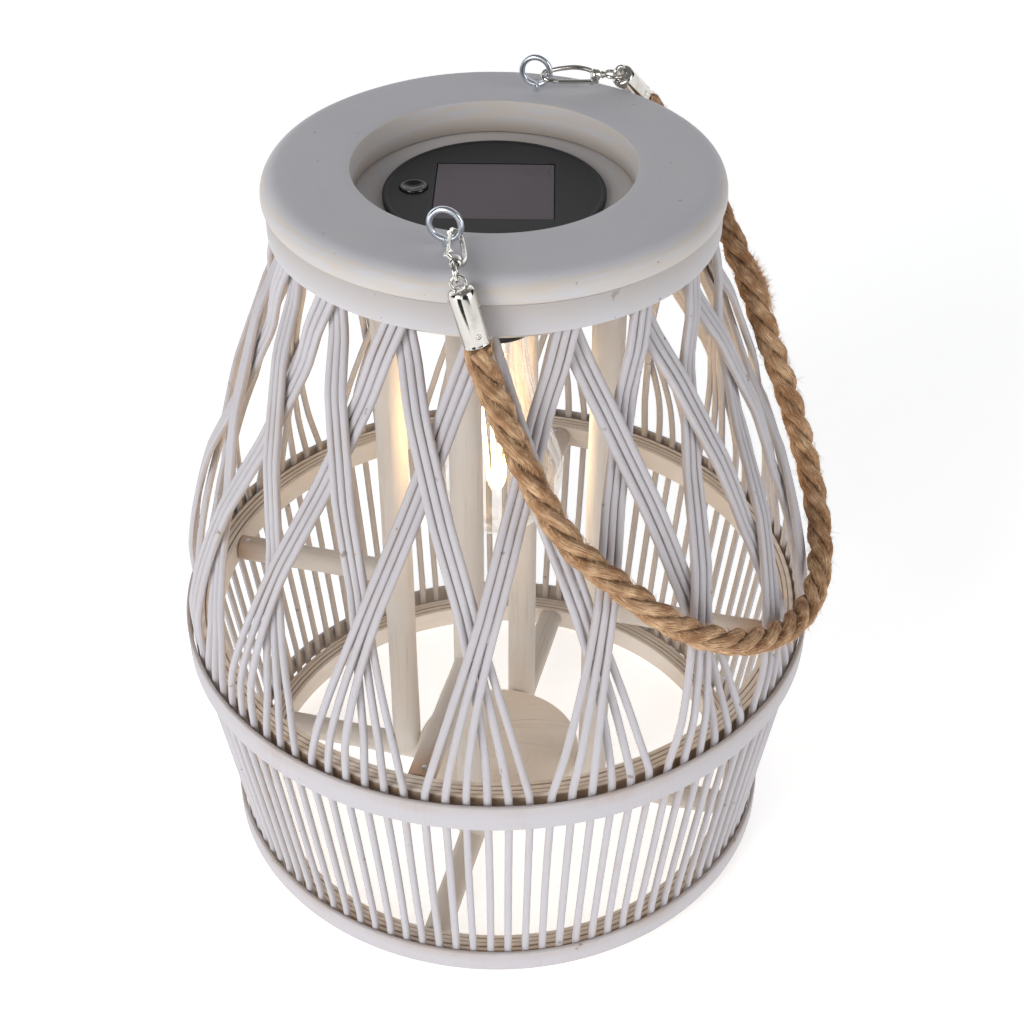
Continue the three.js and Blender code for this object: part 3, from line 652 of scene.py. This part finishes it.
def ferrule(end, low, high, staple_centre, staple_axis):
    """The rope's metal sleeve with a crimped groove, its staple and a punch mark."""
    length = (high - low).length
    sleeve_along = (high - low).normalized()
    rounded = [(0, 2.0), (0.05, 3.9), (0.5, 4.5), (1.2, 4.82), (2.2, FERRULE_R), (3, FERRULE_R)]
    groove = [(length - 1.4, FERRULE_R), (length - 1.0, 4.78), (length - 0.5, FERRULE_R)]
    lip = [(length - 0.1, 4.86), (length, 4.6), (length + 0.05, 4.2)]
    shape = rounded + groove + lip
    metalwork = Build()
    metalwork.swept([low + sleeve_along * a for a, _ in shape], [r for _, r in shape], sides=48)
    metalwork.swept(ring_line(staple_centre, staple_axis, 2.6), LINK_WIRE_R, sides=10, capped=False)
    facing = Vector((0.35, -0.5, 0.35))
    out = (facing - sleeve_along * facing.dot(sleeve_along)).normalized()
    punch = low + sleeve_along * (length - 4.2) + out * 4.75
    metalwork.swept(ring_line(punch, out, 0.85, 18), 0.22, sides=8, capped=False)
    metalwork.swept([punch, punch + out * 0.25], [0.55, 0.35], sides=12)
    return place(metalwork.object(f"sleeve_{end}", NICKEL), "handle", "nickel", f"ferrule_{end}")


def hook_chain(end, side, swivel, slide, gate_turn, sleeve):
    at = hook_place(side, swivel, slide, gate_turn)
    low, high = Vector(sleeve[0]), Vector(sleeve[1])
    staple_centre = low - (high - low).normalized() * STAPLE_OUT
    hook = snap_hook(end, at)
    latch = gate(end, at)
    swivel_link, staple_axis = link(end, at, staple_centre)
    return [hook, latch, swivel_link, ferrule(end, low, high, staple_centre, staple_axis)]


metal_pieces = hook_chain("front", -1, FRONT_SWIVEL, 45, -1, FRONT_FERRULE)
metal_pieces += hook_chain("back", 1, BACK_SWIVEL, 75, 1, BACK_FERRULE)


# ---- the woven basket ----
def wall_radius(z):
    if z <= WEAVE_FOOT_Z:
        share = min(1, max(0, (z - BOTTOM_BAND[1]) / (MID_BAND[0] - BOTTOM_BAND[1])))
        return BOTTOM_STICK_R + (MID_STICK_R - BOTTOM_STICK_R) * share
    s = min(1, (z - WEAVE_FOOT_Z) / (WEAVE_TOP_Z - WEAVE_FOOT_Z))
    a, b, c, d = BASKET_PROFILE
    return (1 - s) ** 3 * a + 3 * (1 - s) ** 2 * s * b + 3 * (1 - s) * s * s * c + s ** 3 * d


def weave_travel(z):
    t = max(0, (min(z, WEAVE_TOP_Z) - WEAVE_FOOT_Z) / (WEAVE_TOP_Z - WEAVE_FOOT_Z))
    return WEAVE_TWIST * (WEAVE_TWIST_EASE * t + (1 - WEAVE_TWIST_EASE) * t * t)


def weave_layer(z):
    """Where a right-leaning bundle lies: outside, inside, outside at its three crossings."""
    heights = (WEAVE_FOOT_Z, 146, TIGHT_Z, 239, 277, 296)
    layers = (0, LAYER, LAYER, -LAYER, -LAYER, LAYER)
    return float(np.interp(z, heights, layers))


def ease(t):
    t = min(1, max(0, t))
    return t * t * (3 - 2 * t)


def stick_line(azimuth, lean, place_in_bundle, rng):
    """The centre line of one stick from the bottom band to the top ring, in millimetres."""
    foot = lean * (place_in_bundle - (STICKS_PER_GROUP - 1) / 2) * STICK_PITCH
    fan_pitch = STICK_PITCH * math.radians(1) * MID_STICK_R
    drift = [rng.uniform(-1, 1) for _ in range(6)]
    points = []
    for z in np.r_[np.linspace(STICK_LOW_Z, 122, 9), np.linspace(128, STICK_TOP_Z, 40)]:
        radius = wall_radius(z)
        if z <= WEAVE_FOOT_Z:
            turn = foot + 0.25 * drift[0] * math.sin((z - 12) / 112 * math.pi)
        else:
            climb = z - WEAVE_FOOT_Z
            spread = (1 - min(1, climb / (TIGHT_Z - WEAVE_FOOT_Z))) ** FAN_CLOSING
            gap = BUNDLE_PITCH + (fan_pitch - BUNDLE_PITCH) * spread
            centre = lean * (weave_travel(z) - 1.5 * STICK_PITCH)
            turn = centre + lean * (place_in_bundle - 1) * math.degrees(gap / radius)
            wave = math.sin(climb * 0.045 + drift[1] * 3) * drift[2]
            radius += lean * weave_layer(z) + 0.22 * wave * ease(climb / 20)
            turn += 0.10 * drift[3] * math.sin(climb * 0.031 + drift[4] * 3) * ease(climb / 30)
        points.append(polar(radius, math.radians(azimuth + turn), z))
    return np.array(points)


def stick(build, line, rng):
    """A split cane: rounded outside, flatter inside, with the sides where it touches its neighbours marked
    for painted shade, which also stands for unpainted cane.
    """
    sides = STICK_SIDES
    round_uv = 0.0107
    step_uv = 0.0064
    radius = STICK / 2 * rng.uniform(0.93, 1.02)
    verts, uvs, faces, crevice, inside = [], [], [], [], []
    tangents = np.gradient(line, axis=0)
    tangents /= np.linalg.norm(tangents, axis=1)[:, None]
    shift = rng.uniform(0, 5)
    for i, (point, tangent) in enumerate(zip(line, tangents)):
        out = np.array([point[0], point[1], 0.0])
        out /= np.linalg.norm(out)
        side = np.cross(tangent, out)
        side /= np.linalg.norm(side)
        out = np.cross(side, tangent)
        # Sticks press closer higher up, so the painted shade between them grows there.
        tight = ease((point[2] - 150) / 50) if point[2] > WEAVE_FOOT_Z else 0.25
        for k in range(sides):
            angle = TAU * k / sides
            depth = math.cos(angle) * (0.86 if math.cos(angle) < 0 else 0.94)
            verts.append(point + radius * (depth * out + math.sin(angle) * side))
            uvs.append((k / sides * round_uv + shift, i * step_uv + shift))
            crevice.append(tight * abs(math.sin(angle)) ** 3)
            inside.append(max(0.0, -math.cos(angle)))
    for i in range(len(line) - 1):
        for k in range(sides):
            n = (k + 1) % sides
            faces.append((i * sides + k, i * sides + n, (i + 1) * sides + n, (i + 1) * sides + k))
    faces.append(tuple(range(sides - 1, -1, -1)))
    faces.append(tuple((len(line) - 1) * sides + k for k in range(sides)))
    build.shell(verts, faces, uvs, crevice=crevice, inside=inside)


def stick_groups():
    rng = random.Random(21)
    for index in range(GROUPS):
        azimuth = FIRST_GROUP_AZ + index * 360 / GROUPS
        build = Build()
        for lean in (1, -1):
            for place_in_bundle in range(3):
                line = stick_line(azimuth, lean, place_in_bundle, rng)
                stick(build, line, rng)
        node = f"stick_group_{index + 1:02d}"
        place(build.object(f"sticks_{index + 1:02d}", CANE), "basket", "painted_cane", node)


stick_groups()


# ---- hoops ----
def ring_profile(inner, outer, low, high, bevel):
    """A closed, bevelled section of a flat ring."""
    return [(inner, low + bevel), (inner + bevel, low), (outer - bevel, low), (outer, low + bevel),
            (outer, high - bevel), (outer - bevel, high), (inner + bevel, high), (inner, high - bevel),
            (inner, low + bevel)]


def uneven(size, seed):
    """A small, smooth unevenness that runs round a ring."""
    rng = random.Random(seed)
    waves = [(rng.randint(2, 9), rng.uniform(0, TAU), rng.uniform(0.3, 1)) for _ in range(4)]

    def offset(angle):
        total = sum(share * math.sin(n * angle + start) for n, start, share in waves) * size / 2
        return total, total * 0.4

    return offset


def band(name, node, stick_r, heights, seed):
    """A painted cane strip outside the sticks; its inner face keeps the warm tone."""
    build = Build()
    low, high = heights
    inner = stick_r + LAYER
    profile = ring_profile(inner, inner + 1.8, low, high, 0.5)
    build.turned(profile, BAND_SIDES, uneven(0.25, seed))
    inner_face = [1.0 if r < inner + 0.3 else 0.0 for r, _ in profile for _ in range(BAND_SIDES)]
    # Painted shade along the band's top edge, where it meets the sticks.
    top_edge = [0.75 if high - 0.6 < z else 0.0 for _, z in profile for _ in range(BAND_SIDES)]
    build.values = {"inside": inner_face, "crevice": top_edge}
    return place(build.object(name, CANE), "basket", "painted_cane", node)


def laminated_hoop(name, node, outer, low, high, seed):
    """An inner hoop of four bent layers with thin glue lines between them."""
    build = Build()
    layers = 4
    glue = 0.07
    pitch = HOOP_THICK / layers
    rng = random.Random(seed)
    values = []
    for layer in range(layers):
        r = outer - HOOP_THICK + layer * pitch
        top = high - rng.uniform(0, 0.5)
        foot = low + rng.uniform(0, 0.3)
        profile = ring_profile(r + glue, r + pitch - glue, foot, top, 0.35)
        build.turned(profile, HOOP_SIDES, uneven(0.14, seed + layer))
        inner_layer = layer == 0
        for radius, _ in profile:
            hidden = radius > r + pitch - 0.3 or (radius < r + 0.3 and not inner_layer)
            values.extend([0.9 if hidden else 0.0] * HOOP_SIDES)
    build.values = {"crevice": values}
    return place(build.object(name, LAMINATE), "basket", "raw_cane", node)


band("mid_band", "mid_hoop_outer", MID_STICK_R, MID_BAND, 3)
band("bottom_band", "bottom_hoop_outer", BOTTOM_STICK_R, BOTTOM_BAND, 4)
laminated_hoop("mid_laminate", "mid_hoop_inner", 134.1, 113, 124.6, 5)
laminated_hoop("bottom_laminate", "bottom_hoop_inner", 120.5, 0, 12, 6)


# ---- poles ----
def pole(name, node, start, end, radius, seed, stain_end=False):
    """A slightly uneven round pole, with a rusty stain on its last steps where a nail holds it."""
    rng = random.Random(seed)
    stain_steps = 7
    start, end = np.array(start, float), np.array(end, float)
    line = np.array([start + (end - start) * t for t in np.linspace(0, 1, POLE_STEPS)])
    radii = [radius * (1 + 0.012 * math.sin(i * 0.9 + rng.uniform(0, 1))) for i in range(POLE_STEPS)]
    build = Build()
    build.swept(line, radii, sides=POLE_SIDES)
    stains = []
    for i in range(POLE_STEPS):
        near = max(0.0, 1 - (POLE_STEPS - 1 - i) / stain_steps) if stain_end else 0.0
        stains.extend([near * 0.8] * POLE_SIDES)
    build.values = {"crevice": stains}
    return place(build.object(name, POLE), "basket", "pale_pole", node)


def poles():
    bar_end, bar_r, bar_z = 110.8, 5.95, 6
    post_r, post_low, post_high = 6.8, 8, 313.8
    strut_r, strut_z = 5.7, 118.5
    pole("bar_x", "base_bar_x", (-bar_end, 0, bar_z), (bar_end, 0, bar_z), bar_r, 11)
    pole("bar_y", "base_bar_y", (0, -bar_end, bar_z), (0, bar_end, bar_z), bar_r, 12)
    for i, side in enumerate(("right", "back", "left", "front")):
        angle = i * TAU / 4
        foot, head = polar(POST_PLACE_R, angle, post_low), polar(POST_PLACE_R, angle, post_high)
        pole(f"pole_{side}", f"post_{side}", foot, head, post_r, 20 + i)
        inner, outer = polar(50, angle, strut_z), polar(124.4, angle, strut_z)
        pole(f"strut_{side}", f"mid_strut_{side}", inner, outer, strut_r, 30 + i, stain_end=True)


poles()


def nail_heads():
    """Small steel nails through the mid hoop's top into the ends of the struts."""
    build = Build()
    for i in range(4):
        foot = Vector(polar(120.5, i * TAU / 4 + 0.012, 124.0))
        line = [foot, foot + Vector((0, 0, 0.5)), foot + Vector((0, 0, 0.7))]
        build.swept(line, [1.1, 1.1, 0.6], sides=12)
    return place(build.object("nail_heads", ZINC), "basket", "zinc")


nail_heads()


def centre_plate():
    build = Build()
    low, high, rim = 12.35, 18.35, 39.5
    profile = [(0.001, low), (38.7, low), (rim, 13.2), (rim, 17.4), (38.8, 18.2), (38, high), (0.001, high)]
    build.turned(profile, 120)
    build.values = {"crevice": [0.0] * len(build.verts)}
    return place(build.object("plate", LIT_PLATE), "basket", "pale_pole", "centre_plate")


centre_plate()


# ---- top ring ----
def rounded_top(outer, edge, top, steps=10):
    points = []
    for i in range(steps + 1):
        angle = i / steps * math.pi / 2
        points.append((outer - edge * (1 - math.cos(angle)), top - edge * (1 - math.sin(angle))))
    return points


def top_ring():
    """The thick board: a rebate for the strip, a rounded outer edge, a flat top and a plain hole."""
    low, rebate_r, rebate_z = 319.5, 86.2, 323.2
    foot = [(BOARD_HOLE_R, low), (rebate_r, low), (rebate_r, rebate_z), (89.3, 323.3), (BOARD_R, 323.9)]
    face = [(76, 333.02), (68, TOP_FACE_Z), (60, TOP_FACE_Z), (56.2, TOP_FACE_Z)]
    hole = [(55.3, 332.7), (BOARD_HOLE_R, 332), (BOARD_HOLE_R, 326), (BOARD_HOLE_R, low)]
    profile = foot + rounded_top(BOARD_R, 8, TOP_FACE_Z) + face + hole
    build = Build()
    build.turned(profile, BOARD_SIDES, uneven(0.22, 8))
    scuff, crevice = [], []
    for r, z in profile:
        scuff.extend([0.9 if (r > 82 and z < 331) or r < 56 else 0.15] * BOARD_SIDES)
        # Painted shade on the board's underside and on the rebate's wall above the strip.
        crevice.extend([0.85 if z < 320 or (r < 87 and 320 < z < 323.25) else 0.0] * BOARD_SIDES)
    build.values = {"scuff": scuff, "crevice": crevice}
    return place(build.object("ring_board", BOARD), "basket", "painted_wood", "top_ring")


def ring_band():
    build = Build()
    profile = ring_profile(86.7, 88.5, 310, 323, 0.45)
    build.turned(profile, BOARD_SIDES, uneven(0.25, 9))
    # Painted shade on the strip's top, under the board, and on its inner face.
    hidden = [0.5 if z > 322 or r < 87 else 0.0 for r, z in profile for _ in range(BOARD_SIDES)]
    build.values = {"scuff": [0.35] * len(build.verts), "crevice": hidden}
    return place(build.object("ring_strip", BOARD), "basket", "painted_wood", "ring_band")


def module_seat():
    build = Build()
    profile = ring_profile(37.9, 78.5, 314.15, 318.95, 0.3)
    build.turned(profile)
    # Painted shade on the seat's underside.
    under = [0.3 if z < 315 else 0.0 for _, z in profile for _ in range(SMOOTH_SIDES)]
    build.values = {"scuff": [0.8] * len(build.verts), "crevice": under}
    return place(build.object("seat", BOARD), "basket", "painted_wood", "module_seat")


def binding_hoop():
    build = Build()
    build.turned(ring_profile(71.5, 78.5, 303, 313.8, 0.5), wobble=uneven(0.2, 10))
    build.values = {"crevice": [0.0] * len(build.verts)}
    return place(build.object("binding", LAMINATE), "basket", "raw_cane", "binding_hoop")


top_ring()
ring_band()
module_seat()
binding_hoop()


# ---- screw eyes ----
def screw_eye(end, side):
    """A bent wire eye: the ring's end stops short of the shank."""
    centre = Vector((0, side * EYE_PLACE_R, EYE_CENTRE_Z))
    bends = 43
    line = []
    for i in range(bends + 1):
        angle = -math.pi / 2 + 0.30 + i / bends * (TAU - 0.42)
        line.append(centre + Vector((math.cos(angle), 0, math.sin(angle))) * EYE_RING_R)
    line += [centre - Vector((0, 0, depth)) for depth in (7.1, 9, 13, 16)]
    build = Build()
    build.swept(smooth_line(line, 90), 1.2, sides=16)
    return place(build.object(f"eye_{end}", ZINC), "basket", "zinc", f"screw_eye_{end}")


screw_eye("front", -1)
screw_eye("back", 1)


# ---- solar lamp module ----
def turn_module(points):
    c, s = math.cos(MODULE_TURN), math.sin(MODULE_TURN)
    return [(x * c - y * s, x * s + y * c, z) for x, y, z in points]


def carve(obj, cutter):
    """Cuts a closed mesh out of obj, and removes the cutter."""
    modifier = obj.modifiers.new("cut", "BOOLEAN")
    modifier.operation = "DIFFERENCE"
    modifier.solver = "EXACT"
    modifier.object = cutter
    graph = bpy.context.evaluated_depsgraph_get()
    made = bpy.data.meshes.new_from_object(obj.evaluated_get(graph))
    obj.modifiers.clear()
    obj.data = made
    bpy.data.objects.remove(cutter)


def block(name, low, high, material):
    corners = [(x, y, z) for z in (low[2], high[2]) for y in (low[1], high[1]) for x in (low[0], high[0])]
    faces = [(0, 2, 3, 1), (4, 5, 7, 6), (0, 1, 5, 4), (2, 6, 7, 3), (0, 4, 6, 2), (1, 3, 7, 5)]
    return mesh_object(name, turn_module(corners), faces, material, smooth=False)


def housing():
    """The lamp's open-bottomed shell, with a rim, a well for the cells and a hole for the button."""
    top, under, foot = 321, 318, 292
    outer_r, inner_r = 37.4, 35.4
    rim = [(41.2, top), (41.9, 321.35), (42.9, 321.3), (43.4, 320.8), (43.4, 319.35), (outer_r, 319.3)]
    wall = [(outer_r, foot), (inner_r, foot), (inner_r, under), (0.001, under)]
    build = Build()
    build.turned([(0.001, top), (35, top)] + rim + wall, 128)
    obj = build.object("lamp_housing", BLACK)
    carve(obj, block("panel_cut", (-23.4, -22.9, 319.6), (23.4, 22.9, 324), BLACK))
    hole = Build()
    x, y, _ = turn_module([BUTTON_PLACE])[0]
    hole.swept([(x, y, 317.0), (x, y, 324)], 5.75, sides=48)
    carve(obj, hole.object("button_cut", BLACK))
    obj.data.polygons.foreach_set("use_smooth", [False] * len(obj.data.polygons))
    return place(obj, "module", "black_plastic", "solar_housing")


def panel():
    obj = block("cells", (-23.0, -22.5, 319.7), (23.0, 22.5, 320.85), CELL)
    return place(obj, "module", "solar_cell", "solar_panel")


def button():
    """A round cap with a raised rim and a dished top."""
    spot_x, spot_y, _ = turn_module([BUTTON_PLACE])[0]
    side = [(0.001, 318.6), (5.4, 318.6), (5.4, 321.3), (5.1, 321.75), (4.5, 321.9)]
    dish = [(3.8, 321.7), (2.6, 321.25), (1.3, 321.02), (0.001, 320.95)]
    build = Build()
    build.turned(side + dish, 48)
    build.verts = [(x + spot_x, y + spot_y, z) for x, y, z in build.verts]
    return place(build.object("push_button", GLOSS_BLACK), "button", "gloss_black", "power_button")


def socket():
    build = Build()
    collar = [(0.001, 291.7), (20, 291.7), (20, 287.5), (17.5, 285.5)]
    cup = [(17, 262), (14.4, 262), (14.4, 288), (0.001, 288)]
    build.turned(collar + cup, 72)
    return place(build.object("socket", BLACK), "module", "black_plastic", "lamp_socket")


def bulb():
    """A round bulb that runs smoothly into a narrowing neck."""
    angles = np.linspace(-math.pi / 2, 0.42, 26)
    ball = [(BULB_R * math.cos(a), BULB_CENTRE_Z + BULB_R * math.sin(a)) for a in angles]
    ball[0] = (0.001, BULB_CENTRE_Z - BULB_R)
    r, z = ball[-1]
    neck = smooth_line([(r, 0, z), (21.6, 0, 215), (16.2, 0, 232), (13.6, 0, 248), (13.2, 0, 261.6)], 22)
    build = Build()
    build.turned(ball + [(p[0], p[2]) for p in neck[1:]], 96)
    return place(build.object("bulb", GLASS), "module", "clear_glass", "bulb_glass")


def strip_angles():
    return [math.radians(i * 90 + 20) + MODULE_TURN for i in range(4)]


def filament():
    build = Build()
    for angle in strip_angles():
        foot_r, foot_z = FILAMENT_FOOT
        head_r, head_z = FILAMENT_HEAD
        build.swept([polar(foot_r, angle, foot_z), polar(head_r, angle, head_z)], 0.9, sides=12)
    return place(build.object("filament_strips", FILAMENT), "module", "warm_light", "led_filament")


def stem():
    """The glass rod inside the bulb, with the wires and the small disc that hold the strips."""
    build = Build()
    build.turned([(0.001, 221), (3.6, 221), (4.2, 224), (4.2, 240), (6, 252), (9, 261)], 40)
    build.turned([(0.001, 181.4), (4.2, 181.4), (4.2, 182), (0.001, 182)], 32)
    head_r, head_z = FILAMENT_HEAD
    for angle in strip_angles():
        wire = [polar(head_r, angle, head_z), polar(5.4, angle, 226), polar(2, angle, 228)]
        build.swept(wire, 0.3, sides=8)
    return place(build.object("glass_stem", GLASS), "module", "clear_glass")


housing()
panel()
button()
socket()
bulb()
filament()
stem()


def paint_rest():
    """The CAD solids that stay in view take the same finishes."""
    finishes = {"circuit_board": GREEN, "battery": WRAP, "housing_base": BLACK, "bulb_cap": NICKEL}
    for node, material in finishes.items():
        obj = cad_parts[node]
        obj.data.materials.clear()
        obj.data.materials.append(material)


paint_rest()


# ---- light and stage ----
def area_light(name, at, size, power):
    data = bpy.data.lights.new(name, "AREA")
    data.size = size
    data.energy = power
    light = bpy.data.objects.new(name, data)
    bpy.context.scene.collection.objects.link(light)
    light.location = at
    light.rotation_euler = (Vector((0, 0, 0.16)) - Vector(at)).to_track_quat("-Z", "Y").to_euler()


def bulb_light():
    data = bpy.data.lights.new("bulb_light", "POINT")
    data.energy = 0.13
    data.color = (1.0, 0.78, 0.52)
    data.shadow_soft_size = 0.006
    light = bpy.data.objects.new("bulb_light", data)
    bpy.context.scene.collection.objects.link(light)
    light.location = (0, 0, 0.202)


def studio_light():
    """Soft light from all round, bright near the horizon and dim overhead."""
    world = bpy.data.worlds.new("world")
    bpy.context.scene.world = world
    world.use_nodes = True
    tree = world.node_tree
    background = tree.nodes["Background"]
    background.inputs["Color"].default_value = (0.97, 0.98, 1.0, 1)
    direction = tree.nodes.new("ShaderNodeTexCoord")
    split = tree.nodes.new("ShaderNodeSeparateXYZ")
    dimmer = tree.nodes.new("ShaderNodeMapRange")
    for index, number in enumerate((0.15, 0.75, HORIZON_LIGHT, OVERHEAD_LIGHT)):
        dimmer.inputs[index + 1].default_value = number
    tree.links.new(direction.outputs["Generated"], split.inputs[0])
    tree.links.new(split.outputs["Z"], dimmer.inputs["Value"])
    tree.links.new(dimmer.outputs["Result"], background.inputs["Strength"])


def card(name, azimuth, distance, half_width, heights, material):
    """An upright card that shades the light and shows in polished metal, but not to the camera."""
    c, s = math.cos(math.radians(azimuth)), math.sin(math.radians(azimuth))
    x, y, w = distance * c, distance * s, half_width
    low, high = heights
    corners = [(x - w * s, y + w * c, low), (x + w * s, y - w * c, low),
               (x + w * s, y - w * c, high), (x - w * s, y + w * c, high)]
    made = mesh_object(name, corners, [(0, 1, 2, 3)], material, smooth=False)
    made.visible_camera = False
    return made


def stage():
    white = Shader("floor_white").finish(Base_Color=(0.93, 0.93, 0.93), Roughness=0.9,
                                         Emission_Color=(1, 1, 1), Emission_Strength=FLOOR_GLOW)
    half, level = 9000, -0.3
    corners = [(-half, -half, level), (half, -half, level), (half, half, level), (-half, half, level)]
    floor = mesh_object("floor", corners, [(0, 1, 2, 3)], white, smooth=False)
    dark = Shader("dark_card").finish(Base_Color=(0.01, 0.01, 0.01), Roughness=1.0)
    for i, azimuth in enumerate((-152, -48, 35)):
        card(f"card_{i}", azimuth, 1500, 620, (250, 1500), dark)
    stripe = card("stripe_card", -95, 790, 190, (0, 300), dark)
    stripe.visible_diffuse = False
    stripe.visible_shadow = False
    studio_light()
    area_light("key", (-0.9, -1.5, 0.95), 1.1, 22)
    area_light("fill", (1.5, -0.5, 0.8), 0.9, 6)
    bulb_light()


stage()


def render_settings():
    scene = bpy.context.scene
    scene.view_settings.view_transform = "Standard"
    scene.view_settings.look = "None"
    scene.view_settings.exposure = 0
    scene.cycles.max_bounces = 8
    scene.cycles.transparent_max_bounces = 12
    scene.cycles.sample_clamp_indirect = 4


render_settings()
